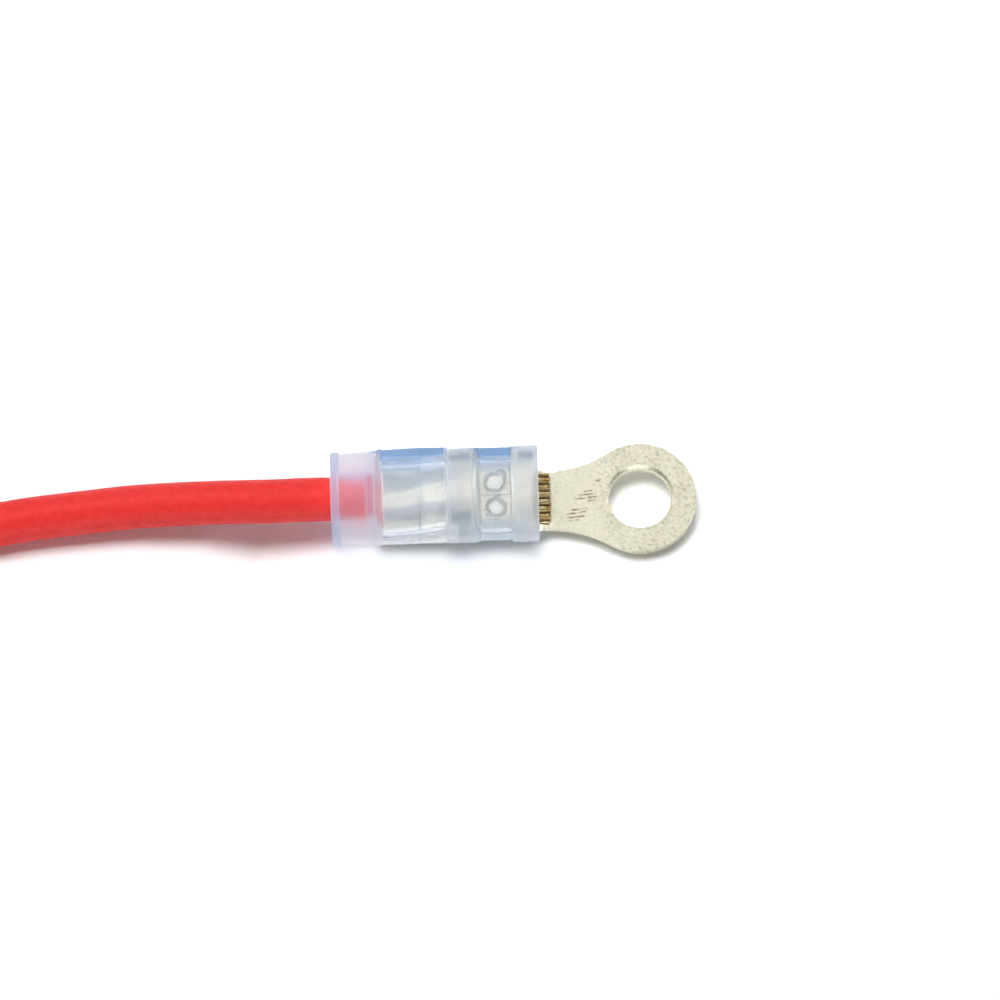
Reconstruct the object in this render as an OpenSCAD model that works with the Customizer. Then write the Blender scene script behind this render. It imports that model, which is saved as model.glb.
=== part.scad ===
// Nylon-insulated ring terminal, crimped on a stranded wire lead.
// Millimetres, +Z up. The origin is the centre of the stud hole on the tongue's underside,
// and the barrel and the wire run from there along -X.

/* [Ring tongue] */
// Diameter of the stud hole
stud_hole_d = 4.3; // [3.7:0.1:5]
// Outside diameter of the ring
ring_od = 7.7; // [7.2:0.1:9]
// Thickness of the stamped sheet
sheet_t = 0.8; // [0.7:0.05:0.9]
// Width of the neck between ring and barrel
neck_w = 4; // [3.6:0.1:4.4]
// Radius of the flare from the neck to the ring
flare_r = 8; // [5:0.5:10]
// Width of the rolled edge round the top of the stud hole
hole_edge = 0.2; // [0.05:0.05:0.3]

/* [Barrel] */
// Distance from the stud hole's centre to the barrel's mouth
mouth_reach = 7.4; // [7:0.1:9]
// Length of the barrel
barrel_l = 5.55; // [5.4:0.05:6.5]
// Width of the barrel as the crimp leaves it
barrel_w = 5; // [4.9:0.05:5.2]
// Height of the barrel away from the crimp
barrel_h = 3.65; // [3.4:0.05:3.8]
// Gap at the butted seam along the barrel's top
seam_gap = 0.03; // [0.02:0.01:0.1]

/* [Conductor crimp] */
// Distance from the barrel's mouth to the near end of the pressed floor
crimp_from_mouth = 1.5; // [1.4:0.1:1.8]
// Length of the pressed floor along the barrel
crimp_l = 2; // [1.6:0.1:2.2]
// Height of the pressed barrel over the tongue's underside
crimp_h = 2.25; // [2.2:0.05:2.5]
// Diameter of the two gauge dimples left by the die
dimple_d = 1.7; // [1.2:0.1:1.8]
// Distance of each gauge dimple from the centre line
dimple_y = 0.9; // [0.85:0.05:1]
// Depth of the gauge dimples
dimple_depth = 0.2; // [0.05:0.01:0.22]

/* [Insulator] */
// Length of the nylon sleeve
sleeve_l = 14.1; // [13.8:0.1:15]
// Width of the sleeve over the barrel
sleeve_w = 6.5; // [6.3:0.1:6.9]
// Height of the sleeve's axis over the tongue's underside
axis_z = 2.25; // [2.15:0.05:2.35]
// How far the sleeve's lip reaches past the barrel's mouth
lip = 0.43; // [0.2:0.05:0.6]
// Diameter of the flange at the wire entry
flange_d = 6.4; // [6.3:0.1:7]
// Thickness of the flange
flange_t = 0.55; // [0.4:0.05:0.8]
// Width of the sleeve just in front of the flange
entry_w = 6.1; // [5.8:0.1:6.2]
// Width of the funnel where the wire goes in
entry_bore = 5; // [4.4:0.1:5.2]
// Thickness of the nylon under the crimp dies
pressed_t = 0.3; // [0.25:0.05:0.35]

/* [Insulation crimp] */
// Length of the pressed floor over the wire's jacket
grip_crimp_l = 4.35; // [4:0.05:4.5]
// Height of that floor at its wire end, over the sleeve's axis
grip_floor_back = 0.25; // [0.2:0.05:0.4]
// Height of that floor where the die's two faces meet
grip_floor_mid = 0.6; // [0.5:0.05:0.75]
// Height of that floor at its barrel end
grip_floor_front = 1.1; // [0.9:0.05:1.2]

/* [Grip sleeve] */
// Thickness of the metal grip sleeve round the jacket
grip_t = 0.25; // [0.2:0.05:0.3]
// Width of the grip sleeve
grip_w = 5; // [4.9:0.05:5.2]
// How far the grip sleeve laps over the barrel
grip_lap = 0.5; // [0.3:0.05:0.7]

/* [Wire] */
// Outside diameter of the wire's jacket
wire_d = 3; // [2.8:0.1:3.1]
// Diameter of one strand
strand_d = 0.25; // [0.2:0.01:0.26]
// Strands across one of the two flattened layers
strands_across = 13; // [10:1:13]
// How far the strands stand out of the barrel's mouth
brush = 1.3; // [0.8:0.1:1.5]
// Length of conductor stripped bare at the far end
strip_l = 8; // [5:1:12]

/* [Hank] */
// Overall length of the folded hank
hank_l = 54; // [48:1:60]
// Overall width of the folded hank
hank_w = 21; // [20:1:24]
// Width of the tie round the hank
tie_w = 4; // [3:0.5:6]
// Thickness of the tie
tie_t = 0.4; // [0.3:0.1:0.6]

/* [Hidden] */
STRANDS = 2 * strands_across;
STRAND_NAMES = [for (i = [0:STRANDS - 1]) str("strand_", i < 9 ? "0" : "", i + 1)];

SHEET_STEPS = 36;  // steps across the rolled sheet, from one seam edge to the other
CURVED = 96;       // $fn of what carries over as a true circle
gap = 0.04;        // clearance between the nylon, the grip sleeve and the barrel
skin_in = 0.02;    // depth of the barrel's root under the tongue's faces

// Places along the terminal
mouth_x = -mouth_reach;
tip_x = mouth_x + lip;
barrel_back_x = mouth_x - barrel_l;
rear_x = tip_x - sleeve_l;
neck_end_x = mouth_x + 1.7;
neck_lap = 0.05;    // the flat tongue starts this far inside the flattened barrel
crimp_front_x = mouth_x - crimp_from_mouth;
crimp_back_x = crimp_front_x - crimp_l;
shoulder_front = 0.25;
shoulder_back = 0.6;
step_x = barrel_back_x - 0.15;
grip_front_x = step_x - 0.1;
grip_back_x = grip_front_x - grip_crimp_l;
grip_mid_x = grip_front_x - 1.8;
grip_shoulder = 0.5;
crease_w = 0.24;
crease_depth = 0.1;
grip_end_x = grip_back_x - grip_shoulder;
table_z = axis_z - flange_d / 2;

function mix(a, b, t) = a + (b - a) * t;
function smooth(t) = t * t * (3 - 2 * t);
function reversed(list) = [for (i = [len(list) - 1:-1:0]) list[i]];

// How far the conductor crimp presses at x, from 0 to 1
function crimped(x) = smooth(lookup(x, [
  [crimp_back_x - shoulder_back, 0], [crimp_back_x, 1],
  [crimp_front_x, 1], [crimp_front_x + shoulder_front, 0]]));

// A section is [half width, z of the widest point, top, bottom, top squareness, bottom squareness]
function section_point(x, s, angle) =
  let (up = sin(angle) > 0, n = up ? s[4] : s[5],
       r = pow(pow(abs(cos(angle)), n) + pow(abs(sin(angle)), n), -1 / n))
  [x, s[0] * r * cos(angle), s[1] + (up ? s[2] - s[1] : s[1] - s[3]) * r * sin(angle)];
LOWER_STEPS = 8;    // steps of a ring from the middle of its underside to its widest point
SIDE_STEPS = 4;     // steps from there to the crest of the ear that the crimp leaves
EAR_STEPS = 3;      // steps down the ear's inner wall
FLOOR_STEPS = 14;   // steps across half of the pressed floor
UPPER_STEPS = SIDE_STEPS + EAR_STEPS + FLOOR_STEPS;
HALF_ANGLES = [for (i = [0:LOWER_STEPS - 1]) 90 * i / LOWER_STEPS - 90,
               for (i = [0:UPPER_STEPS - 1]) 90 * i / UPPER_STEPS];
RING_ANGLES = concat(HALF_ANGLES, [90], [for (i = [len(HALF_ANGLES) - 1:-1:1]) 180 - HALF_ANGLES[i]]);
function section_ring(x, s) = [for (a = RING_ANGLES) section_point(x, s, a)];
function grown(s, by) = [s[0] + by, s[1], s[2] + by, s[3] - by, s[4], s[5]];

// ---- lofts ----
// A loop lists the numbers of a section's points; skin() joins two loops of the same length
function loop(from, n) = [for (i = [0:n - 1]) from + i];
function skin(a, b) = let (n = len(a)) [for (i = [0:n - 1]) let (k = (i + 1) % n)
  each [[a[i], b[k], a[k]], [a[i], b[i], b[k]]]];
// A sheet's loop goes out along its outer face and back along its inner one
function part_of(sheet, first, last) = let (n = len(sheet))
  [for (j = [first:last]) sheet[j], for (j = [last:-1:first]) sheet[n - 1 - j]];
function cut_face(sheet, towards_rear) = let (n = len(sheet)) [for (j = [0:n / 2 - 2])
  let (a = sheet[j], b = sheet[j + 1], c = sheet[n - 2 - j], d = sheet[n - 1 - j])
  each (towards_rear ? [[a, b, c], [a, c, d]] : [[d, c, b], [d, b, a]])];

// A skin round a closed chain of rings, so that the first and last rings meet too
module closed_loft(rings) {
  n = len(rings[0]);
  m = len(rings);
  polyhedron([for (r = rings) each r],
    [for (k = [0:m - 1]) each skin(loop(k * n, n), loop((k + 1) % m * n, n))]);
}

// ---- ring terminal: one stamping, tongue and rolled barrel ----
tube_t = 0.65;      // the barrel's side walls, thinned by the crimp
cavity_h = 0.56;    // the slot that the strands fill under the crimp
cavity_x = 0.6;     // side wall under the crimp
function barrel_outer(x) = let (p = crimped(x))
  [barrel_w / 2 + 0.05 * p, mix(1.6, 1.2, p), mix(barrel_h, crimp_h, p), mix(0.02, 0.1, p),
   mix(2.2, 3.5, p), mix(2.1, 2.5, p)];
function barrel_inner(x) = let (p = crimped(x), floor_z = mix(sheet_t - 0.02, 0.9, p))
  [barrel_w / 2 + 0.05 * p - mix(tube_t, cavity_x, p), mix(1.6, floor_z + cavity_h / 2, p),
   mix(barrel_h - tube_t, floor_z + cavity_h, p), floor_z, mix(2.2, 5, p), mix(4.5, 5, p)];

// The sheet's section, from one seam edge round the bottom to the other
SEAM_ANGLE = 180 - asin(seam_gap / barrel_h);
function sheet_angle(j) = (2 * j / SHEET_STEPS - 1) * SEAM_ANGLE;
function sheet_ring(x, first, last) = let (out = barrel_outer(x), in = barrel_inner(x)) [
  for (j = [first:last]) section_point(x, out, sheet_angle(j) - 90),
  for (j = [last:-1:first]) section_point(x, in, sheet_angle(j) - 90)];
// The barrel's lower part runs on past the mouth as a trough, and flattens into the neck
TROUGH_FIRST = SHEET_STEPS / 2 - 6;
TROUGH_LAST = SHEET_STEPS / 2 + 6;
function trough_ring(x) =
  let (t = smooth(max(0, x - tip_x) / (neck_end_x - tip_x)),
       from = sheet_ring(mouth_x, TROUGH_FIRST, TROUGH_LAST),
       half = neck_w / 2 - skin_in, n = len(from))
  [for (j = [0:n - 1]) let (below = j < n / 2, u = 4 * (below ? j : n - 1 - j) / (n - 2) - 1)
    [x, mix(from[j][1], u * half, t), mix(from[j][2], below ? skin_in : sheet_t - skin_in, t)]];

module tongue_outline() {
  ring_r = ring_od / 2;
  arc_y = neck_w / 2 + flare_r;
  arc_x = -sqrt(pow(ring_r + flare_r, 2) - pow(arc_y, 2));
  meet = arc_y * ring_r / (ring_r + flare_r);
  start_x = neck_end_x - neck_lap;
  flare_x = max(arc_x, start_x);
  circle(ring_r, $fn = CURVED);
  difference() {
    translate([flare_x, -meet]) square([-flare_x, 2 * meet]);
    for (side = [-1, 1]) translate([arc_x, side * arc_y]) circle(flare_r, $fn = CURVED);
  }
  translate([start_x, -neck_w / 2]) square([-start_x, neck_w]);
}

barrel_xs = [barrel_back_x, mix(barrel_back_x, crimp_back_x - shoulder_back, 0.5),
  for (t = [0:0.2:1]) crimp_back_x - shoulder_back * (1 - t),
  mix(crimp_back_x, crimp_front_x, 0.5),
  for (t = [0:0.25:1]) crimp_front_x + shoulder_front * t,
  mix(crimp_front_x, mouth_x, 0.6), mouth_x];
module barrel() {
  open = [for (t = [0:0.2:1]) mix(tip_x, neck_end_x, t)];
  n = 2 * (SHEET_STEPS + 1);
  loops = [for (k = [0:len(barrel_xs) - 1]) loop(k * n, n)];
  mouth = loops[len(barrel_xs) - 1];
  open_n = 2 * (TROUGH_LAST - TROUGH_FIRST + 1);
  trough = [part_of(mouth, TROUGH_FIRST, TROUGH_LAST),
            for (k = [0:len(open) - 1]) loop(len(barrel_xs) * n + k * open_n, open_n)];
  polyhedron(
    [for (x = barrel_xs) each sheet_ring(x, 0, SHEET_STEPS), for (x = open) each trough_ring(x)],
    [each cut_face(loops[0], true),
     for (k = [1:len(loops) - 1]) each skin(loops[k - 1], loops[k]),
     each cut_face(part_of(mouth, 0, TROUGH_FIRST), false),
     each cut_face(part_of(mouth, TROUGH_LAST, SHEET_STEPS), false),
     for (k = [1:len(trough) - 1]) each skin(trough[k - 1], trough[k]),
     each cut_face(trough[len(trough) - 1], false)]);
}

module terminal() color("lightgoldenrodyellow") {
  difference() {
    linear_extrude(sheet_t) tongue_outline();
    translate([0, 0, -1]) cylinder(d = stud_hole_d, h = sheet_t + 2, $fn = CURVED);
    translate([0, 0, sheet_t - hole_edge])
      cylinder(d1 = stud_hole_d, d2 = stud_hole_d + 4 * hole_edge, h = 2 * hole_edge, $fn = CURVED);
  }
  barrel();
}

// ---- metal grip sleeve: laps the barrel's end and closes on the jacket ----
grip_bottom = -0.3;
lap_x = barrel_back_x + grip_lap;
pressed_end_x = grip_back_x - 0.5;
grip_x = [pressed_end_x, grip_back_x, grip_mid_x, mix(grip_mid_x, grip_front_x, 0.5), grip_front_x,
          mix(grip_front_x, barrel_back_x, 0.5), barrel_back_x - 0.02, lap_x];
// Heights along the die's floor, with the crease where its two faces meet
grip_floor = [[grip_back_x, grip_floor_back], [grip_mid_x - crease_w / 2, grip_floor_mid],
              [grip_mid_x, grip_floor_mid - crease_depth],
              [grip_mid_x + crease_w / 2, grip_floor_mid + 0.03],
              [grip_front_x, grip_floor_front]];
function grip_top(x) = axis_z - pressed_t - gap + lookup(x, grip_floor);
function grip_outer(x) =
  let (over = grown(barrel_outer(barrel_back_x), gap + grip_t),
       t = smooth(lookup(x, [[grip_front_x, 0], [barrel_back_x - 0.02, 1]])))
  [mix(grip_w / 2, over[0], t), mix(0.9, over[1], t), mix(grip_top(x), over[2], t),
   mix(grip_bottom, over[3], t), 3, mix(2, over[5], t)];

module grip_sleeve() color("silver")
  closed_loft([each [for (x = grip_x) section_ring(x, grip_outer(x))],
               each [for (x = reversed(grip_x)) section_ring(x, grown(grip_outer(x), -grip_t))]]);

// ---- nylon insulator ----
flange_r = flange_d / 2;
entry_r = entry_w / 2;
half_w = sleeve_w / 2;
entry_x = rear_x + flange_t;
function flange_profile(then) =
  [[rear_x, flange_r - 0.08], [rear_x + 0.08, flange_r], [entry_x - 0.05, flange_r], [entry_x, entry_r],
   each then];
function sleeve_half(x) = lookup(x, flange_profile([
  [grip_end_x, half_w - 0.03], [grip_mid_x, half_w - 0.03], [step_x, half_w - 0.03],
  [step_x + 0.02, half_w - 0.03], [crimp_back_x - shoulder_back, half_w], [crimp_back_x, half_w - 0.12],
  [crimp_front_x, half_w - 0.12],
  [crimp_front_x + shoulder_front, half_w + 0.03], [tip_x - 0.08, half_w + 0.03], [tip_x, half_w - 0.03]]));
function sleeve_mid(x) = axis_z + lookup(x, [
  [entry_x, 0], [grip_end_x, 0.2], [step_x, 0.2], [step_x + 0.02, 0.1], [crimp_back_x, -0.1],
  [crimp_front_x, -0.1], [tip_x, 0.05]]);
function sleeve_top(x) = axis_z + lookup(x, flange_profile([
  [grip_end_x, 3.05], [step_x, 2.75], [step_x + 0.02, 2.7], [tip_x - 0.08, 2.65], [tip_x, 2.59]]));
function sleeve_bottom(x) = axis_z - lookup(x, flange_profile([
  [grip_end_x, 2.95], [grip_mid_x, 2.85], [step_x, 2.85], [step_x + 0.02, 2.75],
  [crimp_back_x - shoulder_back, 2.75], [crimp_back_x, 2.55], [crimp_front_x, 2.55],
  [crimp_front_x + shoulder_front, 2.72], [tip_x, 2.72]]));
function top_squareness(x) = lookup(x, [
  [grip_end_x, 2.1], [grip_back_x, 2.75], [step_x, 2.75], [step_x + 0.02, 2.3],
  [crimp_back_x - shoulder_back, 2.4], [crimp_back_x, 3.1], [crimp_front_x, 3.1],
  [crimp_front_x + shoulder_front, 2.4]]);
// The dies' floors over the jacket and over the barrel, far above the sleeve where nothing is pressed
UNPRESSED = 99;
function floor_z(x) = min(
  x > grip_end_x && x < step_x
    ? axis_z + lookup(x, concat([[grip_end_x, 3.05]], grip_floor, [[step_x, 2.75]])) : UNPRESSED,
  crimped(x) > 0 ? mix(sleeve_top(x), crimp_h + gap + pressed_t, crimped(x)) : UNPRESSED);
ear_slope = 1.9;  // rise of the ears' inner walls
// Where an ear's inner wall meets the floor
function ear_foot(x, half) =
  min(0.92 * half, lookup(x, [[grip_back_x, 2.92], [grip_front_x, 2.68], [step_x, 2.75]]));
crimp_mid_x = mix(crimp_back_x, crimp_front_x, 0.5);
function dimple(x, y) = let (share = 2 * norm([x - crimp_mid_x, y - dimple_y]) / dimple_d)
  dimple_depth * crimped(x) * max(0, 1 - share * share);
function outline_z(s, y) = s[1] + (s[2] - s[1]) * pow(max(0, 1 - pow(y / s[0], s[4])), 1 / s[4]);
function ear_wall_z(x, foot, y) = floor_z(x) - dimple(x, y) + ear_slope * max(0, y - foot);
// The crest is found by halving the stretch from y = low to high that holds it
function crest_y(x, s, foot, low, high, halvings = 16) =
  let (y = (low + high) / 2, inside = outline_z(s, y) > ear_wall_z(x, foot, y))
  halvings == 0 ? y : crest_y(x, s, foot, inside ? y : low, inside ? high : y, halvings - 1);
function sleeve_half_ring(x) =
  let (s = [sleeve_half(x), sleeve_mid(x), sleeve_top(x), sleeve_bottom(x), top_squareness(x), 2.15],
       foot = ear_foot(x, s[0]), crest = max(mix(foot, s[0], 0.35), crest_y(x, s, foot, foot, s[0])),
       crest_angle = atan2((outline_z(s, crest) - s[1]) / (s[2] - s[1]), crest / s[0]))
  [for (i = [0:LOWER_STEPS - 1]) section_point(x, s, 90 * i / LOWER_STEPS - 90),
   for (i = [0:SIDE_STEPS - 1]) section_point(x, s, crest_angle * i / SIDE_STEPS),
   for (y = [for (i = [0:EAR_STEPS - 1]) mix(crest, foot, i / EAR_STEPS),
             for (i = [0:FLOOR_STEPS]) foot * (1 - i / FLOOR_STEPS)])
     [x, y, min(outline_z(s, y), ear_wall_z(x, foot, y))]];
function sleeve_ring(x) = let (half = sleeve_half_ring(x))
  [each half, for (i = [len(half) - 2:-1:1]) [x, -half[i][1], half[i][2]]];
funnel = [entry_bore / 2, axis_z, axis_z + entry_bore / 2, axis_z - entry_bore / 2, 2, 2];

module insulator() color("lightsteelblue", 0.6) {
  out_x = [rear_x, rear_x + 0.08, rear_x + flange_t - 0.05, rear_x + flange_t,
           mix(rear_x + flange_t, grip_end_x, 0.5), grip_end_x,
           each [for (t = [0.25:0.25:1]) mix(grip_end_x, grip_back_x, t)],
           mix(grip_back_x, grip_mid_x, 0.5),
           grip_mid_x - crease_w / 2, grip_mid_x, grip_mid_x + crease_w / 2,
           grip_front_x, step_x, step_x + 0.02,
           each [for (t = [0:0.2:1]) crimp_back_x - shoulder_back * (1 - t)],
           each [for (t = [0.1:0.1:0.9]) mix(crimp_back_x, crimp_front_x, t)],
           each [for (t = [0:0.25:1]) crimp_front_x + shoulder_front * t],
           mix(crimp_front_x, tip_x, 0.5), tip_x - 0.08, tip_x];
  in_x = [tip_x, for (x = reversed(barrel_xs)) if (x < mouth_x && x > lap_x + 0.1) x, lap_x + 0.06];
  in_grip_x = reversed([for (i = [1:len(grip_x) - 2]) grip_x[i]]);
  closed_loft([each [for (x = out_x) sleeve_ring(x)],
               each [for (x = in_x) section_ring(x, grown(barrel_outer(x), gap))],
               section_ring(lap_x + gap, grown(grip_outer(lap_x), gap)),
               each [for (x = in_grip_x) section_ring(x, grown(grip_outer(x), gap))],
               section_ring(grip_x[0] - gap, grown(grip_outer(grip_x[0]), gap)),
               each [for (x = [grip_x[0] - 0.6, rear_x]) section_ring(x, funnel)]]);
}

// ---- strands: two flattened layers through the barrel, cut off in a short brush ----
strand_pitch = strand_d + 0.008;
layer_z = 0.9 + cavity_h / 2;
layer_rise = 0.88 * strand_d;
ragged = 0.12;           // how unevenly the strands were cut
jacket_end_x = grip_front_x - 0.1;
module strand(i) {
  layer = i % 2;
  across = floor(i / 2) - (strands_across - 1) / 2 + (layer - 0.5) / 2;
  cut_x = mouth_x + brush - ragged * (1 + sin(137 * i));
  color("tan") translate([jacket_end_x, across * strand_pitch, layer_z + (layer - 0.5) * layer_rise])
    rotate([0, 90, 0]) cylinder(d = strand_d, h = cut_x - jacket_end_x, $fn = 16);
}

// ---- wire lead ----
// The route of the jacket from the barrel to the hank: [x, y, z, width share, height share]
lay_z = table_z + wire_d / 2;
entry_z = axis_z + 0.1;
squeezed_z = 0.88;
hank_z = table_z + tie_t;
fold_r = (hank_w - wire_d) / 2;
fold_x = -60.5;
low_run_y = -3.6;
hank_y = low_run_y + fold_r;
run_l = hank_l - hank_w;
stripped_back = 17.5;    // from the near fold's centre back to where the jacket ends
end_x = fold_x - stripped_back;
tie_back = 25.5;         // from the near fold's centre back to the tie's middle
route = [
  [jacket_end_x, 0, squeezed_z, 1.32, 0.6], [pressed_end_x - 0.15, 0, squeezed_z, 1.32, 0.6],
  [pressed_end_x - 1, 0, 1.4, 1.12, 0.88], [pressed_end_x - 2, 0, 1.95, 1, 1],
  [rear_x, 0, entry_z, 1, 1], [-25, 0.1, 2.05, 1, 1],
  [-30, 0.3, 1.5, 1, 1], [-35, 0.35, 0.9, 1, 1], [-40, 0, 0.6, 1, 1], [-44, -0.5, lay_z, 1, 1],
  [-48, -1.3, lay_z, 1, 1], [-52, -2.3, lay_z, 1, 1], [-56, -3.2, hank_z + wire_d / 2, 1, 1],
  [fold_x, low_run_y, hank_z + wire_d / 2, 1, 1]];
TUBE_SIDES = 8;
function unit(v) = v / norm(v);
function centre(i) = let (p = route[max(0, min(i, len(route) - 1))]) [p[0], p[1], p[2]];
function heading(i) = unit(centre(i + 1) - centre(i - 1));
function tube_ring(i) =
  let (ahead = heading(i), side = unit(cross([0, 0, 1], ahead)), up = cross(ahead, side), p = route[i])
  [for (j = [0:TUBE_SIDES - 1]) let (a = (j + 0.5) * 360 / TUBE_SIDES)
    centre(i) + wire_d / 2 * (side * p[3] * cos(a) + up * p[4] * sin(a))];
module wire() color("red") {
  n = TUBE_SIDES;
  last = len(route) - 1;
  polyhedron([for (i = [0:last]) each tube_ring(i)], concat(
    [[for (j = [0:n - 1]) j]],
    [for (i = [0:last - 1]) for (j = [0:n - 1]) each
      [[i * n + j, (i + 1) * n + (j + 1) % n, i * n + (j + 1) % n],
       [i * n + j, (i + 1) * n + j, (i + 1) * n + (j + 1) % n]]],
    [[for (j = [n - 1:-1:0]) last * n + j]]));
}

// Two laps of the wire, one on the other, up to its stripped end on the far run
module lap_outline(r) {
  for (x = [fold_x, fold_x - run_l]) translate([x, hank_y]) circle(r, $fn = CURVED);
  translate([fold_x - run_l, hank_y - r]) square([run_l, 2 * r]);
}
module wire_hank() color("red") difference() {
  translate([0, 0, hank_z]) linear_extrude(2 * wire_d) difference() {
    lap_outline(fold_r + wire_d / 2);
    lap_outline(fold_r - wire_d / 2);
  }
  translate([end_x, hank_y + fold_r - wire_d, hank_z + wire_d]) cube([strip_l + 1, 2 * wire_d, 2 * wire_d]);
}

bundle_d = strand_d * sqrt(STRANDS / 0.76);
module bare_end() color("tan")
  translate([end_x, hank_y + fold_r, hank_z + wire_d + bundle_d / 2])
    rotate([0, 90, 0]) cylinder(d = bundle_d, h = strip_l, $fn = 24);

module hank_tie() color("white")
  translate([fold_x - tie_back, hank_y, hank_z + wire_d]) rotate([90, 0, 90])
    linear_extrude(tie_w, center = true) difference() {
      square([hank_w + 2 * tie_t, 2 * (wire_d + tie_t)], center = true);
      square([hank_w, 2 * wire_d], center = true);
    }

terminal();
grip_sleeve();
insulator();
wire();
wire_hank();
bare_end();
hank_tie();
for (i = [0:STRANDS - 1]) strand(i);
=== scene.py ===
"""Looks of the nylon-insulated ring terminal and its red lead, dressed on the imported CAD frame.

Metres throughout, in the row frame: the stud hole's centre is the origin, +Z leaves the tongue's top
and +X points from the barrel to the ring.
"""

import math
import random

import bmesh
import bpy
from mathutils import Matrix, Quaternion, Vector


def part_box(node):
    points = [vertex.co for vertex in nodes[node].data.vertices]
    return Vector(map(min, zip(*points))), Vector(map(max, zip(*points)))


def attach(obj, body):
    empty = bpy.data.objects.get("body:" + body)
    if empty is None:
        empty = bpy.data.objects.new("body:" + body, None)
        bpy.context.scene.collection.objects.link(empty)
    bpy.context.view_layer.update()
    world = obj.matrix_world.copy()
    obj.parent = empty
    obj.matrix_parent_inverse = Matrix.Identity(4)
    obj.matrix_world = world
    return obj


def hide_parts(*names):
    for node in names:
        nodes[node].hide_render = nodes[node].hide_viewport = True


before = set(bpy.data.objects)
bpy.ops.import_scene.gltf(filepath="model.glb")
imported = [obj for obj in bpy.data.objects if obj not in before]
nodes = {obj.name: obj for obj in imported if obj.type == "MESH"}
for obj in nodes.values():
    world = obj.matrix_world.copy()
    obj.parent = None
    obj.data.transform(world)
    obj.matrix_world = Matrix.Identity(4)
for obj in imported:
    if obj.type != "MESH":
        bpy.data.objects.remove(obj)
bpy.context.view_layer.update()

MM = 0.001
WIRE_D = 3 * MM
WIRE_R = WIRE_D / 2
SLEEVE_LOW, SLEEVE_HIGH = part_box("insulator")
TABLE_Z = SLEEVE_LOW.z
STRANDS = [name for name in nodes if name.startswith("strand_")]

# What the materials follow along the sleeve, from the wire's entry to the mouth: x in millimetres
FLANGE_RIM = (-20.6, -20.4)
ENTRY_END = (-18.25, -17.85)
RAMP = (-18.65, -18.1)
GRIP_FLOOR = (-17.75, -13.3)
GRIP_EARS = (-18.3, -13.2)
CREASE = (-15.16, -15.02)
MIDDLE_ROUND = (-13.0, -11.5)
WIRE_EARS = (-11.5, -8.4)
WIRE_FLOOR = (-11.0, -8.8)
FRONT_ROUND = (-8.3, -7.25)
MOUTH_RIM = (-7.2, -7.05)
# Across it, in millimetres: where the ears begin, and the wire's middle as the nylon shows it
EAR_SIDES = (2.45, 2.75)
WIRE_SHOWN_Y = -0.6
# The gauge dimples in the floor pressed over the barrel: x, y and how far out the rim lies
DIMPLE_X = -9.9
DIMPLE_YS = (-0.9, 0.9)
DIMPLE_RIM = (0.85, 1.25)
# The neck's stretch that has less mottle: from and to, each with its soft end
NECK_START = (-7.0, -5.5)
NECK_END = (-3.4, -2.2)
# Handling marks on the neck: x, y, half length and half width
NECK_SCUFFS = [(-2.85, 1.3, 0.12, 0.08), (-3.55, 0.55, 0.25, 0.05), (-3.7, 0.3, 0.5, 0.06),
               (-3.75, 0.06, 0.75, 0.06), (-3.35, -0.12, 0.25, 0.05), (-4.15, -0.72, 0.55, 0.06),
               (-4.4, -1.0, 0.6, 0.07), (-4.45, -1.27, 0.55, 0.06), (-4.6, -1.52, 0.3, 0.05)]
SCUFF_SLOPE = 0.1
NYLON_IOR = 1.53
PVC_IOR = 1.5


# ---- camera ----
VIEW_WIDTH = 0.0685
CAMERA_AWAY = 0.35
CAMERA_ELEVATION = math.radians(72)
CAMERA_ROLL = math.radians(-1.75)
LOOK_AT = Vector((-0.0096, 0.0001, 0.0008))
SENSOR = 36

camera_data = bpy.data.cameras.new("camera")
camera_data.sensor_width = SENSOR
camera_data.lens = SENSOR * CAMERA_AWAY / VIEW_WIDTH
camera_data.clip_start = 0.01
camera = bpy.data.objects.new("camera", camera_data)
bpy.context.scene.collection.objects.link(camera)
away = Vector((0, -math.cos(CAMERA_ELEVATION), math.sin(CAMERA_ELEVATION)))
camera.location = LOOK_AT + CAMERA_AWAY * away
camera.rotation_mode = "QUATERNION"
camera.rotation_quaternion = (-away).to_track_quat("-Z", "Y") @ Quaternion((0, 0, 1), CAMERA_ROLL)
bpy.context.scene.camera = camera


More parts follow.
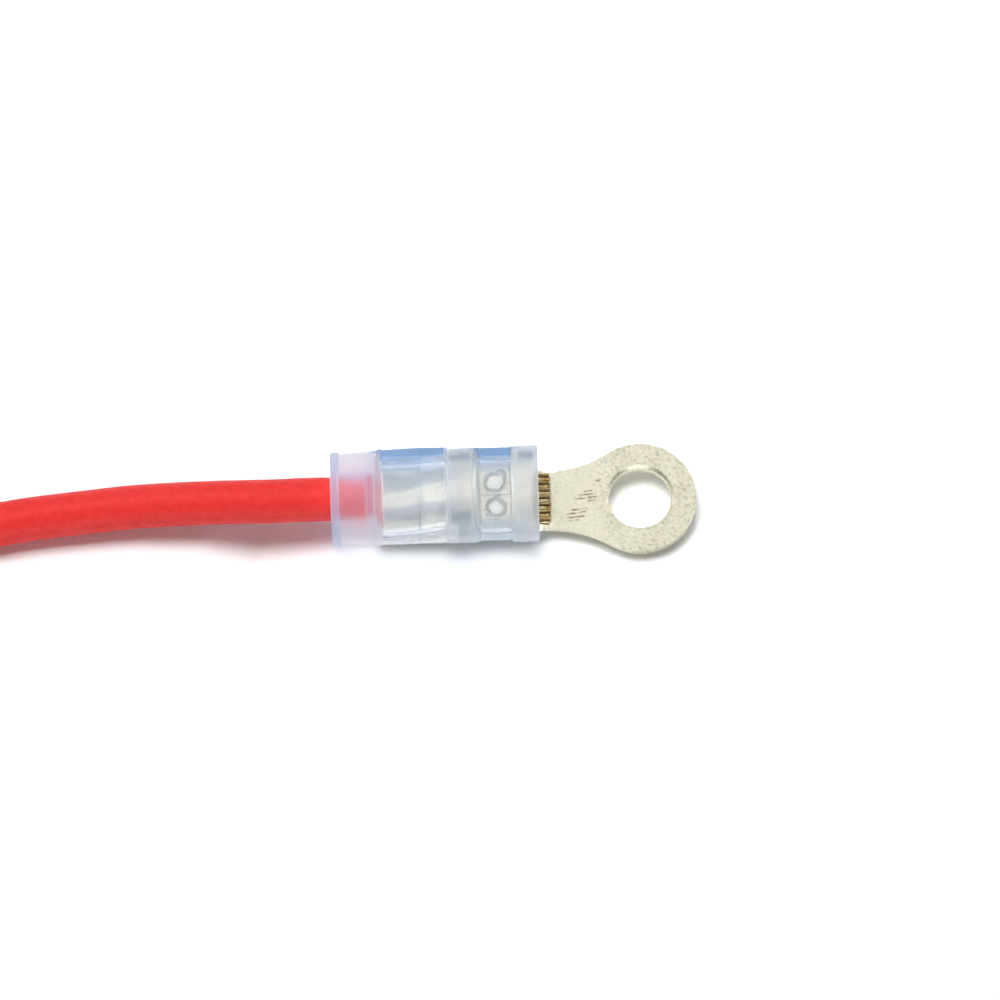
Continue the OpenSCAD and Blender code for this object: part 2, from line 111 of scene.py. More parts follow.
# ---- material building ----
class Shader:
    """A material's node tree. A value that is a socket is linked, and a plain one is set."""

    def __init__(self, name):
        self.material = bpy.data.materials.new(name)
        self.material.use_nodes = True
        self.tree = self.material.node_tree
        self.tree.nodes.clear()
        self.output = self.tree.nodes.new("ShaderNodeOutputMaterial")

    def add(self, kind, settings=None, **sockets):
        node = self.tree.nodes.new("ShaderNode" + kind)
        for key, value in (settings or {}).items():
            setattr(node, key, value)
        for key, value in sockets.items():
            self.feed(node.inputs[key.replace("_", " ")], value)
        return node

    def feed(self, socket, value):
        if isinstance(value, bpy.types.NodeSocket):
            self.tree.links.new(value, socket)
        elif isinstance(value, tuple) and len(value) == 3 and socket.type == "RGBA":
            socket.default_value = (*value, 1)
        else:
            socket.default_value = value

    def maths(self, operation, *values):
        node = self.add("Math", {"operation": operation})
        for socket, value in zip(node.inputs, values):
            self.feed(socket, value)
        return node.outputs[0]

    def plus(self, a, b):
        return self.maths("ADD", a, b)

    def minus(self, a, b):
        return self.maths("SUBTRACT", a, b)

    def times(self, a, b):
        return self.maths("MULTIPLY", a, b)

    def larger(self, a, b):
        return self.maths("MAXIMUM", a, b)

    def size_of(self, a):
        return self.maths("ABSOLUTE", a)

    def distance(self, along, across):
        squares = self.plus(self.maths("POWER", along, 2.0), self.maths("POWER", across, 2.0))
        return self.maths("SQRT", squares)

    def place(self):
        """The point's place in the row frame, as x, y and z in millimetres."""
        scaled = self.add("VectorMath", {"operation": "SCALE"}, Scale=1000.0)
        self.feed(scaled.inputs[0], self.add("TexCoord").outputs["Object"])
        return self.add("SeparateXYZ", Vector=scaled.outputs[0]).outputs

    def stretched(self, x, y, z):
        """The point's place in millimetres, with each direction scaled by its own factor."""
        mapping = self.add("Mapping", Scale=(1000 * x, 1000 * y, 1000 * z))
        self.feed(mapping.inputs["Vector"], self.add("TexCoord").outputs["Object"])
        return mapping.outputs[0]

    def noise(self, where, scale, detail=3.0, roughness=0.5):
        node = self.add("TexNoise", Vector=where, Scale=scale, Detail=detail, Roughness=roughness)
        return node.outputs["Fac"]

    def between(self, value, low, high, start=0.0, end=1.0):
        """start below low, end above high, and a smooth step between."""
        node = self.add("MapRange", {"interpolation_type": "SMOOTHSTEP"})
        for socket, v in zip(node.inputs, (value, low, high, start, end)):
            self.feed(socket, v)
        return node.outputs[0]

    def band(self, value, low, high, soft):
        """1 from low to high, and 0 beyond them by soft."""
        rise = self.between(value, low - soft, low + soft)
        fall = self.between(value, high - soft, high + soft, 1.0, 0.0)
        return self.times(rise, fall)

    def mix(self, factor, a, b):
        """A colour or a number between a and b."""
        colour = isinstance(a, tuple) or getattr(a, "type", "") == "RGBA"
        node = self.add("Mix", {"data_type": "RGBA" if colour else "FLOAT"})
        first = 6 if colour else 2
        for index, value in ((0, factor), (first, a), (first + 1, b)):
            self.feed(node.inputs[index], value)
        return node.outputs[2 if colour else 0]

    def bump(self, height, strength, distance, normal=None):
        node = self.add("Bump", Height=height, Strength=strength, Distance=distance)
        if normal is not None:
            self.feed(node.inputs["Normal"], normal)
        return node.outputs[0]

    def blend(self, factor, first, second):
        """One shader where the factor is 0 and the other where it is 1."""
        node = self.add("MixShader", Fac=factor)
        self.feed(node.inputs[1], first.outputs[0])
        self.feed(node.inputs[2], second.outputs[0])
        return node

    def surface(self, shader):
        self.tree.links.new(shader, self.output.inputs["Surface"])
        return self.material


def srgb(red, green, blue):
    """A colour as a screen shows it, from 0 to 255, as the shader's own linear numbers."""
    return tuple(((c / 255 + 0.055) / 1.055) ** 2.4 for c in (red, green, blue))


def scuff_marks(s, where, scuffs):
    """1 on the scuffs and 0 off them. They are thin slanted lines, worn away in places."""
    x, y, _ = s.place()
    ragged = s.times(s.minus(s.noise(where, 3.0), 0.5), 0.14)
    worn = None
    for at_x, at_y, half_length, half_width in scuffs:
        off_x = s.minus(x, at_x)
        line_y = s.maths("MULTIPLY_ADD", off_x, SCUFF_SLOPE, at_y)
        along = s.larger(s.minus(s.size_of(off_x), half_length), 0.0)
        across = s.plus(s.minus(y, line_y), ragged)
        mark = s.between(s.distance(along, across), half_width * 0.5, half_width * 1.6, 1.0, 0.0)
        worn = mark if worn is None else s.larger(worn, mark)
    fading = s.between(s.noise(s.stretched(1.5, 5, 5), 1.6), 0.4, 0.6, 0.3, 1.0)
    return s.times(worn, fading)


def tin_plate(name, base, dull, shade, scuffs=()):
    """Satin tin with a fine grey mottle, cloudy patches and scuffs.

    shade takes the shader and gives a share of painted shade, in grey, for each place where the tin lies
    deep in the nylon.
    """
    s = Shader(name)
    where = s.stretched(1, 1, 1)
    clouds = s.between(s.noise(where, 0.8, 4.0, 0.6), 0.36, 0.66)
    mottle = s.noise(where, 3.6, 6.0, 0.72)
    specks = s.between(s.noise(where, 9.0, 4.0, 0.7), 0.56, 0.7)
    drawn = s.noise(s.stretched(0.7, 8, 8), 1.3, 3.0)
    grain = s.times(s.between(mottle, 0.42, 0.66), s.mix(clouds, 0.4, 0.8))
    grain = s.larger(grain, s.times(specks, s.mix(clouds, 0.35, 0.8)))
    grain = s.larger(grain, s.times(clouds, 0.2))
    x = s.place()[0]
    on_neck = s.times(s.between(x, *NECK_START), s.between(x, *NECK_END, 1.0, 0.0))
    grain = s.times(grain, s.mix(on_neck, 1.0, 0.45))
    colour = s.mix(grain, base, dull)
    rough = s.plus(0.3, s.times(mottle, 0.16))
    height = s.plus(s.times(drawn, 0.2), s.times(mottle, 0.8))
    # Painted shade: grey mixed into the tin where shade(s) says it lies deep in the nylon.
    colour = s.mix(shade(s), colour, srgb(150, 160, 172))
    if scuffs:
        worn = scuff_marks(s, where, scuffs)
        colour = s.mix(s.times(worn, 0.75), colour, srgb(128, 112, 86))
        rough = s.plus(rough, s.times(worn, 0.15))
        height = s.minus(height, s.times(worn, 0.5))
    metal = s.add("BsdfPrincipled", Base_Color=colour, Metallic=1.0, Roughness=rough,
                  Normal=s.bump(height, 0.25, 0.00004))
    return s.surface(metal.outputs[0])


def barrel_shade(s):
    """Painted shade: the barrel's colour greys where it turns away under the nylon."""
    x, y, _ = s.place()
    under = s.between(x, -7.5, -7.0, 1.0, 0.0)
    wavy = s.plus(s.size_of(y), s.noise(s.stretched(1, 1, 1), 0.7, 2.0))
    return s.times(s.times(under, s.between(wavy, 1.9, 2.7)), 0.8)


def grip_shade(s):
    """Painted shade in long soft grey bands on the tin that the die pressed over the jacket."""
    y = s.place()[1]
    sway = s.times(s.minus(s.noise(s.stretched(0.5, 1, 1), 0.6, 2.0), 0.5), 1.6)
    waves = s.maths("COSINE", s.times(s.plus(y, sway), 2.9))
    return s.between(waves, -0.9, 0.7, 0.75, 0.1)


def off_dimples(s, where):
    """0 inside the two gauge dimples over the barrel and 1 outside, with a soft and ragged rim."""
    x, y, _ = s.place()
    ragged = s.times(s.noise(where, 1.1, 2.0), 0.8)
    found = []
    for at_y in DIMPLE_YS:
        reach = s.plus(s.distance(s.minus(x, DIMPLE_X), s.minus(y, at_y)), ragged)
        found.append(s.between(reach, *DIMPLE_RIM))
    return s.maths("MINIMUM", *found)


def nylon():
    """Clear nylon, frosted by the mould and smoother under the dies, bluer where it is thick."""
    s = Shader("clear_nylon")
    x, y, _ = s.place()
    where = s.stretched(1, 1, 1)
    fine = s.noise(where, 6.0, 4.0, 0.6)
    waves = s.noise(where, 1.1, 2.0)
    side = s.size_of(y)
    off_wire_line = s.size_of(s.minus(y, WIRE_SHOWN_Y))

    # Regions: the two pressed floors, the ears beside them, the entry and the ramp after it
    wire_floor = s.band(x, *WIRE_FLOOR, 0.12)
    pressed = s.larger(s.band(x, *GRIP_FLOOR, 0.12), wire_floor)
    ears = s.larger(s.band(x, *GRIP_EARS, 0.3), s.band(x, *WIRE_EARS, 0.4))
    ears = s.times(ears, s.between(side, *EAR_SIDES))
    entry = s.between(x, *ENTRY_END, 1.0, 0.0)
    off_wire = s.between(off_wire_line, 1.3, 2.0)
    # Painted light: pink in the nylon's milk over the ramp, where the red jacket's light comes through.
    painted_red_glow = s.times(s.band(x, *RAMP, 0.2), s.between(off_wire_line, 1.1, 1.6, 1.0, 0.0))
    flat = off_dimples(s, where)
    dimple_rim_shade = s.times(s.times(flat, s.minus(1.0, flat)), 4.0)
    rims = s.larger(s.between(x, *FLANGE_RIM, 0.5, 0.0), s.between(x, *MOUTH_RIM, 0.0, 0.35))
    blue = s.larger(s.times(ears, s.between(y, -1.0, 1.0, 0.25, 1.0)), rims)
    round_parts = s.larger(s.band(x, *MIDDLE_ROUND, 0.2), s.band(x, *FRONT_ROUND, 0.15))
    # Painted shade: the round parts' sides turn darker and bluer where they turn away, and less so on
    # the near front.
    side_shade = s.times(round_parts, s.band(s.plus(side, s.times(waves, 0.8)), 2.1, 2.9, 0.35))
    low_front = s.times(s.between(x, -9.0, -8.5), s.between(y, -1.0, 0.0, 0.6, 0.0))
    side_shade = s.times(side_shade, s.minus(1.0, low_front))

    # The surface: frosted by the mould, smoother and wavier where the dies pressed it
    rough = s.mix(pressed, s.between(fine, 0.3, 0.7, 0.34, 0.4), s.mix(wire_floor, 0.24, 0.1))
    height = s.plus(s.times(fine, 0.15), waves)
    normal = s.bump(height, s.mix(pressed, 0.1, 0.3), 0.00006)
    normal = s.bump(flat, 1.0, 0.0003, normal)

    # What is seen through
    clear = s.mix(off_wire, (0.78, 0.76, 0.98), (0.88, 0.93, 1.0))
    clear = s.mix(entry, (0.98, 0.99, 1.0), clear)
    # Painted shade: a dark line along the crease across the pressed floor.
    clear = s.mix(s.times(s.band(x, *CREASE, 0.04), 0.5), clear, (0.5, 0.58, 0.68))
    # Painted shade: darker rings round the gauge dimples.
    clear = s.mix(s.times(dimple_rim_shade, 0.55), clear, (0.45, 0.5, 0.56))
    glass = s.add("BsdfPrincipled", Base_Color=clear, Roughness=rough, IOR=NYLON_IOR, Normal=normal)
    glass.inputs["Transmission Weight"].default_value = 1.0

    # What scatters in it
    tint = s.mix(blue, srgb(244, 246, 250), srgb(160, 198, 238))
    tint = s.mix(side_shade, tint, srgb(166, 178, 192))
    tint = s.mix(painted_red_glow, tint, srgb(242, 152, 172))
    milk = s.add("BsdfPrincipled", Base_Color=tint, Roughness=rough, IOR=NYLON_IOR, Normal=normal)
    thin = s.add("BsdfTranslucent", Color=tint, Normal=normal)
    haze = s.mix(entry, s.between(waves, 0.3, 0.7, 0.2, 0.28), s.mix(off_wire, 0.1, 0.5))
    haze = s.mix(side_shade, haze, 0.5)
    haze = s.mix(painted_red_glow, haze, 0.5)
    pressed_haze = s.mix(wire_floor, 0.12, s.mix(flat, 0.5, 0.26))
    clouded = s.mix(blue, s.mix(pressed, haze, pressed_haze), 0.6)
    body = s.blend(clouded, glass, s.blend(0.5, milk, thin))

    # The lamps shine through it with little loss, so that it casts the faint shadow that the photo shows
    lamp_way = s.add("BsdfTransparent", Color=(0.97, 0.98, 0.99))
    shown = s.blend(s.add("LightPath").outputs["Is Shadow Ray"], body, lamp_way)
    depth = s.add("VolumeAbsorption", Color=(0.42, 0.62, 1.0), Density=25.0)
    s.tree.links.new(depth.outputs[0], s.output.inputs["Volume"])
    return s.surface(shown.outputs[0])


def red_pvc():
    """Satin extruded PVC with faint drawing lines along it and a few handling marks."""
    s = Shader("red_pvc")
    where = s.stretched(1, 1, 1)
    drawn = s.noise(s.stretched(0.12, 3, 3), 1.6, 3.0)
    marks = s.noise(where, 2.2, 4.0, 0.55)
    colour = s.mix(s.between(marks, 0.35, 0.7), srgb(238, 52, 48), srgb(230, 45, 42))
    rough = s.between(marks, 0.35, 0.75, 0.48, 0.6)
    height = s.plus(s.times(drawn, 0.7), s.times(marks, 0.5))
    jacket = s.add("BsdfPrincipled", Base_Color=colour, Roughness=rough, IOR=PVC_IOR,
                   Normal=s.bump(height, 0.2, 0.00005))
    jacket.inputs["Specular IOR Level"].default_value = 0.35
    jacket.inputs["Subsurface Weight"].default_value = 0.12
    jacket.inputs["Subsurface Radius"].default_value = (1.0, 0.2, 0.15)
    jacket.inputs["Subsurface Scale"].default_value = 0.0006
    return s.surface(jacket.outputs[0])


def drawn_wire():
    """Tinned strands, with warmer copper where the tin is thin, and painted shade in stripes for the
    gaps between them.
    """
    s = Shader("drawn_wire")
    where = s.stretched(1, 1, 1)
    patches = s.noise(where, 2.4, 3.0)
    lines = s.noise(s.stretched(0.4, 14, 14), 1.5)
    colour = s.mix(s.between(patches, 0.42, 0.66), srgb(232, 216, 168), srgb(196, 158, 96))
    y = s.place()[1]
    # Painted shade: dark stripes across the bundle for the gaps between strands.
    gap_shade = s.maths("SINE", s.plus(s.times(y, 12.0), s.times(patches, 4.0)))
    colour = s.mix(s.between(gap_shade, 0.1, 0.8), colour, srgb(124, 108, 68))
    metal = s.add("BsdfPrincipled", Base_Color=colour, Metallic=1.0,
                  Roughness=s.between(lines, 0.3, 0.7, 0.22, 0.38), Normal=s.bump(lines, 0.3, 0.00002))
    return s.surface(metal.outputs[0])


def tie_paper():
    """White paper with its fibres and soft creases."""
    s = Shader("tie_paper")
    fibres = s.noise(s.stretched(6, 1, 1), 2.5, 5.0, 0.65)
    creases = s.noise(s.stretched(1, 1, 1), 0.8, 3.0)
    colour = s.mix(s.between(fibres, 0.35, 0.7), srgb(240, 238, 232), srgb(218, 214, 204))
    height = s.plus(fibres, s.times(creases, 2.0))
    paper = s.add("BsdfPrincipled", Base_Color=colour, Roughness=0.8,
                  Normal=s.bump(height, 0.4, 0.00008))
    return s.surface(paper.outputs[0])


# ---- the lead ----
HANK_LOW, HANK_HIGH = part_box("wire_hank")
HANK_Y = (HANK_LOW.y + HANK_HIGH.y) / 2
FOLD_R = (HANK_HIGH.y - HANK_LOW.y) / 2 - WIRE_R
NEAR_FOLD_X = HANK_HIGH.x - FOLD_R - WIRE_R
FAR_FOLD_X = HANK_LOW.x + FOLD_R + WIRE_R
LOWER_Z = HANK_LOW.z + WIRE_R
UPPER_Z = LOWER_Z + WIRE_D
STRIPPED_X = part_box("bare_end")[0].x
# The upper lap comes up from the lower one over this much of the far run and of the fold after it
RISE_BEFORE_FOLD = 8.5 * MM
RISE_TURN = math.radians(120)
# From inside the sleeve, over its flange and down onto the table, up to the hank: x, y, z in millimetres
FREE_POINTS = [
    (-20.05, 0, 1.95), (-21.07, 0, 2.35), (-23, 0.05, 2.3), (-25, 0.1, 2.05), (-27.5, 0.2, 1.8),
    (-30, 0.3, 1.5), (-32.5, 0.35, 1.2), (-35, 0.35, 0.9), (-37.5, 0.2, 0.7), (-40, 0, 0.6),
    (-42, -0.2, 0.57), (-44, -0.5, 0.56), (-46, -0.88, 0.56), (-48, -1.3, 0.56), (-50, -1.78, 0.58),
    (-52, -2.3, 0.65), (-54, -2.8, 0.78), (-56, -3.2, 0.9)]
# The jacket in the crimp: x, the middle's z, half width and half height in wire radii, and squareness
CRIMPED_JACKET = [
    (-13.3, 0.88, 1.32, 0.6, 2.6), (-13.6, 0.88, 1.34, 0.62, 2.6), (-17.9, 0.88, 1.32, 0.6, 2.6),
    (-18.2, 0.9, 1.3, 0.62, 2.5), (-18.65, 1.15, 1.2, 0.76, 2.3), (-19.05, 1.4, 1.12, 0.88, 2.15),
    (-19.5, 1.68, 1.04, 0.96, 2), (-20.07, 1.95, 1, 1, 2)]


def hank_points(turn_points=14):
    """Two laps round the folds: the lower one, then up on the far run and round again on top of it."""
    near_y, far_y = HANK_Y - FOLD_R, HANK_Y + FOLD_R
    rise_from = NEAR_FOLD_X - RISE_BEFORE_FOLD
    rise_length = RISE_BEFORE_FOLD + FOLD_R * RISE_TURN

    def risen(along):
        t = min(1, max(0, along / rise_length))
        return LOWER_Z + WIRE_D * t * t * (3 - 2 * t)

    def run(start, end, y, height, steps=6):
        return [(start + (end - start) * k / steps, y, height(start + (end - start) * k / steps))
                for k in range(1, steps + 1)]

    def fold(centre_x, first_angle, height):
        found = []
        for k in range(1, turn_points + 1):
            turned = math.pi * k / turn_points
            angle = math.radians(first_angle) - turned
            x = centre_x + FOLD_R * math.cos(angle)
            y = HANK_Y + FOLD_R * math.sin(angle)
            found.append((x, y, height(turned)))
        return found

    points = [(NEAR_FOLD_X, near_y, LOWER_Z)]
    points += run(NEAR_FOLD_X, FAR_FOLD_X, near_y, lambda x: LOWER_Z)
    points += fold(FAR_FOLD_X, -90, lambda turned: LOWER_Z)
    points += run(FAR_FOLD_X, rise_from, far_y, lambda x: LOWER_Z)
    points += run(rise_from, NEAR_FOLD_X, far_y, lambda x: risen(x - rise_from), 3)
    points += fold(NEAR_FOLD_X, 90, lambda turned: risen(RISE_BEFORE_FOLD + FOLD_R * turned))
    points += run(NEAR_FOLD_X, FAR_FOLD_X, near_y, lambda x: UPPER_Z)
    points += fold(FAR_FOLD_X, -90, lambda turned: UPPER_Z)
    points += run(FAR_FOLD_X, STRIPPED_X, far_y, lambda x: UPPER_Z, 4)
    return points


def link(name, data, material):
    """A new piece on the root body, with that material."""
    piece = bpy.data.objects.new(name, data)
    bpy.context.scene.collection.objects.link(piece)
    data.materials.append(material)
    if isinstance(data, bpy.types.Mesh):
        data.shade_smooth()
    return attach(piece, "root")


def lead(material):
    curve = bpy.data.curves.new("lead", "CURVE")
    curve.dimensions = "3D"
    curve.bevel_depth = WIRE_R
    curve.bevel_resolution = 8
    curve.resolution_u = 6
    curve.use_fill_caps = True
    points = [tuple(c * MM for c in p) for p in FREE_POINTS] + hank_points()
    spline = curve.splines.new("BEZIER")
    spline.bezier_points.add(len(points) - 1)
    for knot, point in zip(spline.bezier_points, points):
        knot.co = point
        knot.handle_left_type = knot.handle_right_type = "AUTO"
    return link("lead", curve, material)


def skinned(name, rings, closed=False, caps=False):
    """A mesh through rings of points, each as long as the others."""
    mesh = bmesh.new()
    made = [[mesh.verts.new(p) for p in ring] for ring in rings]
    count = len(rings[0])
    pairs = list(zip(made, made[1:])) + ([(made[-1], made[0])] if closed else [])
    for a, b in pairs:
        for i in range(count):
            mesh.faces.new((a[i], a[(i + 1) % count], b[(i + 1) % count], b[i]))
    if caps:
        mesh.faces.new(list(reversed(made[0])))
        mesh.faces.new(made[-1])
    bmesh.ops.recalc_face_normals(mesh, faces=mesh.faces[:])
    data = bpy.data.meshes.new(name)
    mesh.to_mesh(data)
    mesh.free()
    return data


def superellipse(half_w, half_h, power, steps=40):
    def squared(part):
        return math.copysign(abs(part) ** (2 / power), part)

    angles = [2 * math.pi * k / steps for k in range(steps)]
    return [(half_w * squared(math.cos(a)), half_h * squared(math.sin(a))) for a in angles]


def jacket_root(material):
    """The lead's end inside the sleeve, flattened by the insulation crimp."""
    rings = [[(x * MM, u, z * MM + v) for u, v in superellipse(WIRE_R * wide, WIRE_R * high, power)]
             for x, z, wide, high, power in CRIMPED_JACKET]
    return link("jacket_root", skinned("jacket_root", rings, caps=True), material)


STRAND_R = 0.125 * MM
# The bare bundle leaves the jacket's middle and comes down to the lap below over this share of it
FALL_SHARE = 0.35
TWIST_TURNS = 0.55


def twisted_end(material):
    """The stripped strands in a loose twist, from the jacket's middle down to the lap below."""
    low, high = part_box("bare_end")
    bundle_r = (high.z - low.z) / 2 - STRAND_R
    rest_z = (low.z + high.z) / 2
    y0 = (low.y + high.y) / 2
    rng = random.Random(5)
    # Each strand's layer round the middle, and its share of the way round
    places = [(0, 0)]
    for layer, on_ring, count in ((1, 6, 6), (2, 12, 12), (2.75, 14, 7)):
        places += [(layer, k / on_ring) for k in range(count)]
    mesh = bmesh.new()
    steps, sides = 22, 7
    around = [2 * math.pi * j / sides for j in range(sides)]
    for layer, share in places:
        radius = min(layer * 2 * STRAND_R, bundle_r)
        phase = 2 * math.pi * share + rng.uniform(-0.12, 0.12)
        length = (high.x - low.x) * rng.uniform(0.965, 1)
        rings = []
        for k in range(steps + 1):
            t = k / steps
            x = low.x + 0.02 * MM + length * t * 0.998
            still_high = max(0, 1 - t / FALL_SHARE)
            fall = still_high ** 2 * (3 - 2 * still_high)
            centre_z = rest_z + (UPPER_Z - rest_z) * fall * 0.9
            a = phase + 2 * math.pi * TWIST_TURNS * t
            loose = radius * (0.96 + 0.04 * math.sin(7 * t + phase))
            middle = Vector((x, y0 + loose * math.cos(a), centre_z + loose * math.sin(a)))
            rings.append([mesh.verts.new(middle + STRAND_R * Vector((0, math.cos(b), math.sin(b))))
                          for b in around])
        for a_ring, b_ring in zip(rings, rings[1:]):
            for j in range(sides):
                mesh.faces.new((a_ring[j], b_ring[j], b_ring[(j + 1) % sides], a_ring[(j + 1) % sides]))
        mesh.faces.new(rings[0])
        mesh.faces.new(list(reversed(rings[-1])))
    bmesh.ops.recalc_face_normals(mesh, faces=mesh.faces[:])
    data = bpy.data.meshes.new("twisted_end")
    mesh.to_mesh(data)
    mesh.free()
    return link("twisted_end", data, material)


TIE_THICK = 0.32 * MM


def paper_tie(material):
    """A paper band round both runs, pulled over the round wires."""
    low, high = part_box("hank_tie")
    half_w, half_h = (high.y - low.y) / 2, (high.z - low.z) / 2
    y0, z0 = (low.y + high.y) / 2, (low.z + high.z) / 2
    rng = random.Random(3)
    corner = WIRE_R + TIE_THICK

    def loop(inset):
        points = []
        for sy, sz, first in ((1, 1, 0), (-1, 1, 90), (-1, -1, 180), (1, -1, 270)):
            for k in range(7):
                a = math.radians(first + 15 * k)
                r = corner - inset
                y = sy * (half_w - corner) + r * math.cos(a)
                z = sz * (half_h - corner) + r * math.sin(a)
                points.append((y, z))
        return points

    across = [k / 8 for k in range(9)]
    outer = []
    for t in across:
        x = low.x + (high.x - low.x) * t
        edge = 0.05 * MM * (abs(2 * t - 1) ** 6)
        inset = 0.02 * MM + edge + rng.uniform(0, 0.03) * MM
        outer.append([(x, y0 + y, z0 + z) for y, z in loop(inset)])
    inner = [[(x, y0 + y, z0 + z) for y, z in loop(TIE_THICK)] for x in (high.x, low.x)]
    return link("paper_tie", skinned("paper_tie", outer + inner, closed=True), material)


# ---- edges and shading of the CAD nodes ----
WELD = 1e-6


def smooth_by_angle(angle):
    """Geometry nodes that weld a node's facets and shade them smooth, but for edges past the angle."""
    group = bpy.data.node_groups.new(f"smooth_{round(angle)}", "GeometryNodeTree")
    for way in ("INPUT", "OUTPUT"):
        group.interface.new_socket("Geometry", in_out=way, socket_type="NodeSocketGeometry")

    def add(kind, **settings):
        node = group.nodes.new(kind)
        for key, value in settings.items():
            setattr(node, key, value)
        return node

    start = add("NodeGroupInput")
    weld = add("GeometryNodeMergeByDistance")
    own_normals = add("GeometryNodeRemoveAttribute")
    smooth = add("GeometryNodeSetShadeSmooth", domain="FACE")
    keep_sharp = add("GeometryNodeSetShadeSmooth", domain="EDGE")
    end = add("NodeGroupOutput")
    steps = [start, weld, own_normals, smooth, keep_sharp, end]
    for first, then in zip(steps, steps[1:]):
        group.links.new(first.outputs[0], then.inputs[0])
    weld.inputs["Distance"].default_value = WELD
    own_normals.inputs["Name"].default_value = "custom_normal"
    keep_sharp.inputs["Shade Smooth"].default_value = False
    edge = add("GeometryNodeInputMeshEdgeAngle")
    sharp = add("FunctionNodeCompare", operation="GREATER_THAN")
    sharp.inputs[1].default_value = math.radians(angle)
    group.links.new(edge.outputs["Unsigned Angle"], sharp.inputs[0])
    group.links.new(sharp.outputs[0], keep_sharp.inputs["Selection"])
    return group


def soften(name, angle, bevel=0.0):
    """Shade a node smooth over its facets, and round its sharp edges where a bevel is given."""
    nodes[name].modifiers.new("smooth", "NODES").node_group = smooth_by_angle(angle)
    if bevel:
        rounded = nodes[name].modifiers.new("rounded", "BEVEL")
        rounded.width = bevel
        rounded.segments = 3
        rounded.limit_method = "ANGLE"
        rounded.angle_limit = math.radians(angle)
        rounded.harden_normals = True


soften("terminal", 30, 0.1 * MM)
soften("grip_sleeve", 35)
soften("insulator", 33, 0.05 * MM)


# ---- materials on the CAD nodes ----
def dress(names, material):
    for name in names:
        slots = nodes[name].data.materials
        if not slots:
            slots.append(material)
        for index in range(len(slots)):
            slots[index] = material


dress(["terminal"], tin_plate("tin_terminal", srgb(243, 239, 217), srgb(168, 163, 142),
                              barrel_shade, NECK_SCUFFS))
dress(["grip_sleeve"], tin_plate("tin_grip", srgb(242, 239, 224), srgb(196, 196, 188), grip_shade))
dress(["insulator"], nylon())
strand_metal = drawn_wire()
dress(STRANDS, strand_metal)

pvc = red_pvc()
cord = lead(pvc)
root = jacket_root(pvc)
bare = twisted_end(strand_metal)
tie = paper_tie(tie_paper())
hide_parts("wire", "wire_hank")
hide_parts("wire")
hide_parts("bare_end")
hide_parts("hank_tie")


# ---- floor, background and light ----
def white_floor():
    """White that keeps shadows. A ray that looks at it sees it a little brighter, so it shows white."""
    s = Shader("floor")
    path = s.add("LightPath").outputs
    looks = s.larger(path["Is Camera Ray"], path["Is Transmission Ray"])
    looks = s.larger(looks, path["Is Glossy Ray"])
    diffuse = s.add("BsdfDiffuse", Color=s.mix(looks, (0.84, 0.84, 0.84), (1.14, 1.15, 1.16)))
    lift = s.add("Emission", Color=(1, 1, 1), Strength=s.times(looks, 0.02))
    both = s.add("AddShader")
    s.feed(both.inputs[0], diffuse.outputs[0])
    s.feed(both.inputs[1], lift.outputs[0])
    return s.surface(both.outputs[0])


# The lead lies on a level table. Under the terminal the table comes up gently towards the camera,
# because the real terminal leans that way and the modelled one stays level.
FLOOR_HALF = 0.3
LEVEL_UP_TO_X = -0.03
TABLE_TILT = 0.15
TILTED_HALF = 12 * MM
FLANGE_GAP = 0.05 * MM


def table():
    """The floor's mesh: three columns of faces along x, level, turning and tilted, by three rows."""
    places = []
    for x, tilt, gap in ((-FLOOR_HALF, 0, 0), (LEVEL_UP_TO_X, 0, 0),
                         (SLEEVE_LOW.x, TABLE_TILT, FLANGE_GAP), (FLOOR_HALF, TABLE_TILT, FLANGE_GAP)):
        for y in (-FLOOR_HALF, -TILTED_HALF, TILTED_HALF, FLOOR_HALF):
            rise = -tilt * min(TILTED_HALF, max(-TILTED_HALF, y))
            places.append((x, y, TABLE_Z - gap + rise))
    corners = [4 * column + row for column in range(3) for row in range(3)]
    mesh = bpy.data.meshes.new("floor")
    mesh.from_pydata(places, [], [(c, c + 4, c + 5, c + 1) for c in corners])
    mesh.materials.append(white_floor())
    return mesh


floor = bpy.data.objects.new("floor", table())
bpy.context.scene.collection.objects.link(floor)

# The room's light, by the height from which it comes: bright at the horizon and dim overhead
HORIZON, OVERHEAD = 0.08, 0.5
HORIZON_STRENGTH, OVERHEAD_STRENGTH = 0.65, 0.12


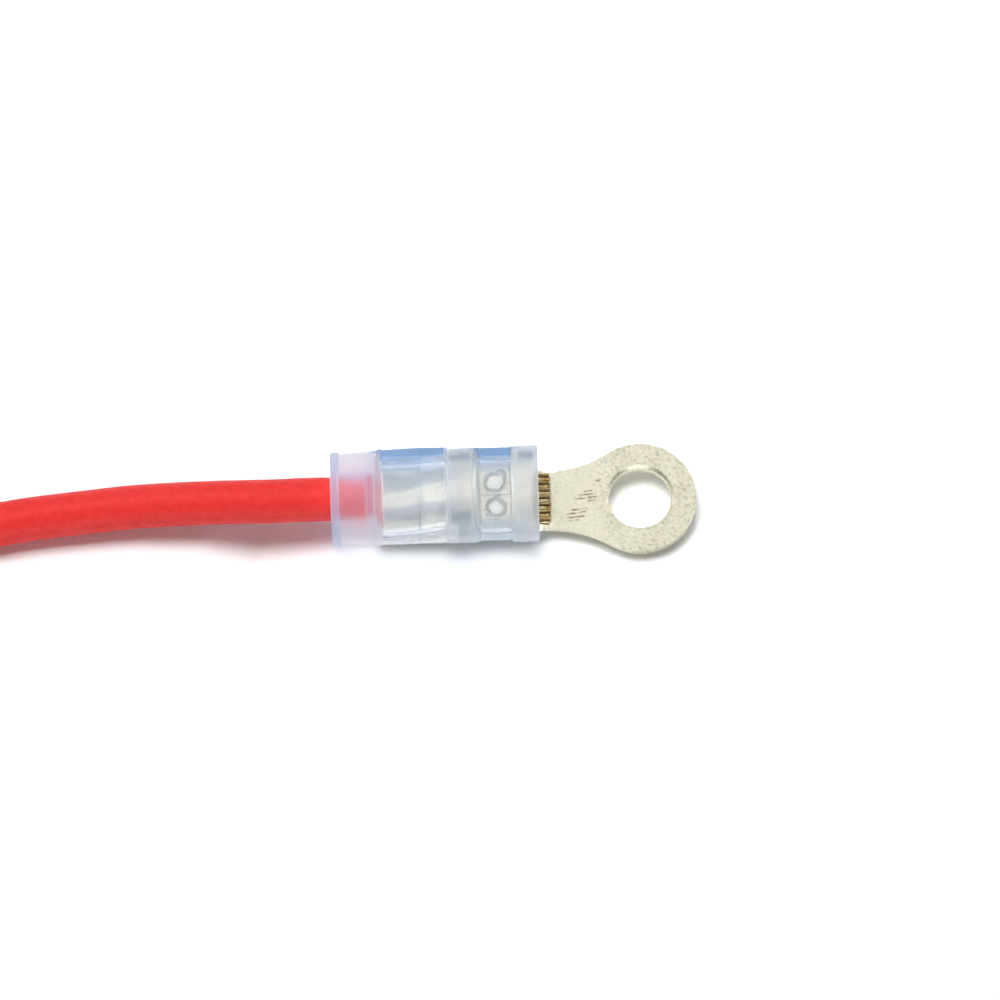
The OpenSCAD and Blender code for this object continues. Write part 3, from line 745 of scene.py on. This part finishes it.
def studio_world():
    """Soft light all round for the object, and plain white where the camera looks past the floor."""
    world = bpy.data.worlds.new("studio")
    world.use_nodes = True
    tree = world.node_tree
    tree.nodes.clear()
    out = tree.nodes.new("ShaderNodeOutputWorld")
    direction = tree.nodes.new("ShaderNodeTexCoord")
    parts = tree.nodes.new("ShaderNodeSeparateXYZ")
    tree.links.new(direction.outputs["Generated"], parts.inputs[0])
    height = tree.nodes.new("ShaderNodeMapRange")
    height.interpolation_type = "SMOOTHSTEP"
    tree.links.new(parts.outputs["Z"], height.inputs[0])
    levels = (HORIZON, OVERHEAD, HORIZON_STRENGTH, OVERHEAD_STRENGTH)
    for socket, value in zip(height.inputs[1:5], levels):
        socket.default_value = value
    room = tree.nodes.new("ShaderNodeBackground")
    room.inputs["Color"].default_value = (0.95, 0.97, 1.0, 1)
    tree.links.new(height.outputs[0], room.inputs["Strength"])
    white = tree.nodes.new("ShaderNodeBackground")
    white.inputs["Color"].default_value = (1, 1, 1, 1)
    seen = tree.nodes.new("ShaderNodeLightPath")
    choose = tree.nodes.new("ShaderNodeMixShader")
    tree.links.new(seen.outputs["Is Camera Ray"], choose.inputs[0])
    tree.links.new(room.outputs[0], choose.inputs[1])
    tree.links.new(white.outputs[0], choose.inputs[2])
    tree.links.new(choose.outputs[0], out.inputs["Surface"])
    return world


bpy.context.scene.world = studio_world()


def softbox(name, at, size, power):
    """A rectangular lamp there, with its width and height in metres, that faces the object."""
    lamp = bpy.data.lights.new(name, "AREA")
    lamp.shape = "RECTANGLE"
    lamp.size, lamp.size_y = size
    lamp.energy = power
    placed = bpy.data.objects.new(name, lamp)
    bpy.context.scene.collection.objects.link(placed)
    placed.location = at
    placed.rotation_mode = "QUATERNION"
    placed.rotation_quaternion = (LOOK_AT - Vector(at)).to_track_quat("-Z", "Y")
    return placed


# The key gives the light and the shadows. What is glossy mirrors a wider and even panel in its place.
key = softbox("key", (-0.07, 0.185, 0.605), (0.32, 0.26), 3.4)
key.visible_glossy = key.visible_transmission = False
panel = softbox("panel", (-0.03, 0.2, 0.62), (0.95, 0.8), 2.05)
panel.visible_diffuse = False
# The fill lights the object's near side and leaves the floor's shadows alone.
fill = softbox("fill", (0.05, -0.6, 0.2), (0.6, 0.3), 1.1)
unlit = bpy.data.collections.new("unlit_by_fill")
unlit.objects.link(floor)
unlit.collection_objects[0].light_linking.link_state = "EXCLUDE"
fill.light_linking.receiver_collection = unlit
# Strips at both sides draw the light lines along rolled edges and the dies' shoulders.
for side in (-1, 1):
    strip = softbox("strip", (side * 0.45, 0.2, 0.28), (0.45, 0.35), 1.5)
    strip.visible_diffuse = strip.visible_transmission = False

bpy.context.scene.view_settings.view_transform = "Standard"
